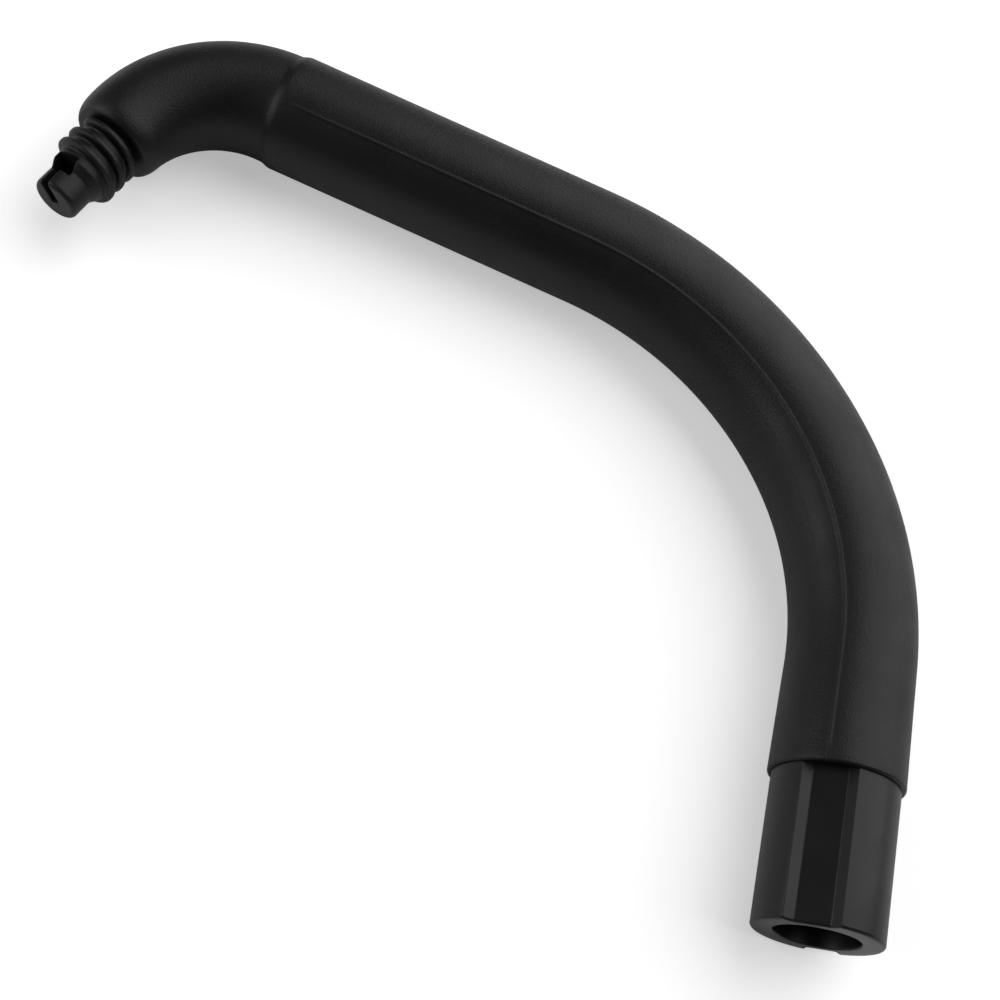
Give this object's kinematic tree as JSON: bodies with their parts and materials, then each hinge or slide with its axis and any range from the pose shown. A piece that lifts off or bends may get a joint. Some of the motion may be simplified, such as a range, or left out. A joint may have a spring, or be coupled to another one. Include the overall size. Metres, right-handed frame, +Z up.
{
  "type": "chainsaw handlebar",
  "caption": "Hollow moulded front handlebar for a small chainsaw, with a keyed spigot, a long bent grip, a tapering neck and a coarse thread for a coil spring.",
  "frame": {"origin": "on the bar's axis at the shoulder, where the spigot meets the grip", "axes": "-Y along the spigot out of the bar, +X across the bends from the neck to the grip's leg, +Z up from the flat-lying bar"},
  "size_m": [0.2506, 0.2012, 0.0334],
  "materials": {
    "handlebar": "fine-grained black nylon"
  },
  "bodies": {
    "root": {"handlebar": "handlebar"}
  },
  "joints": []
}
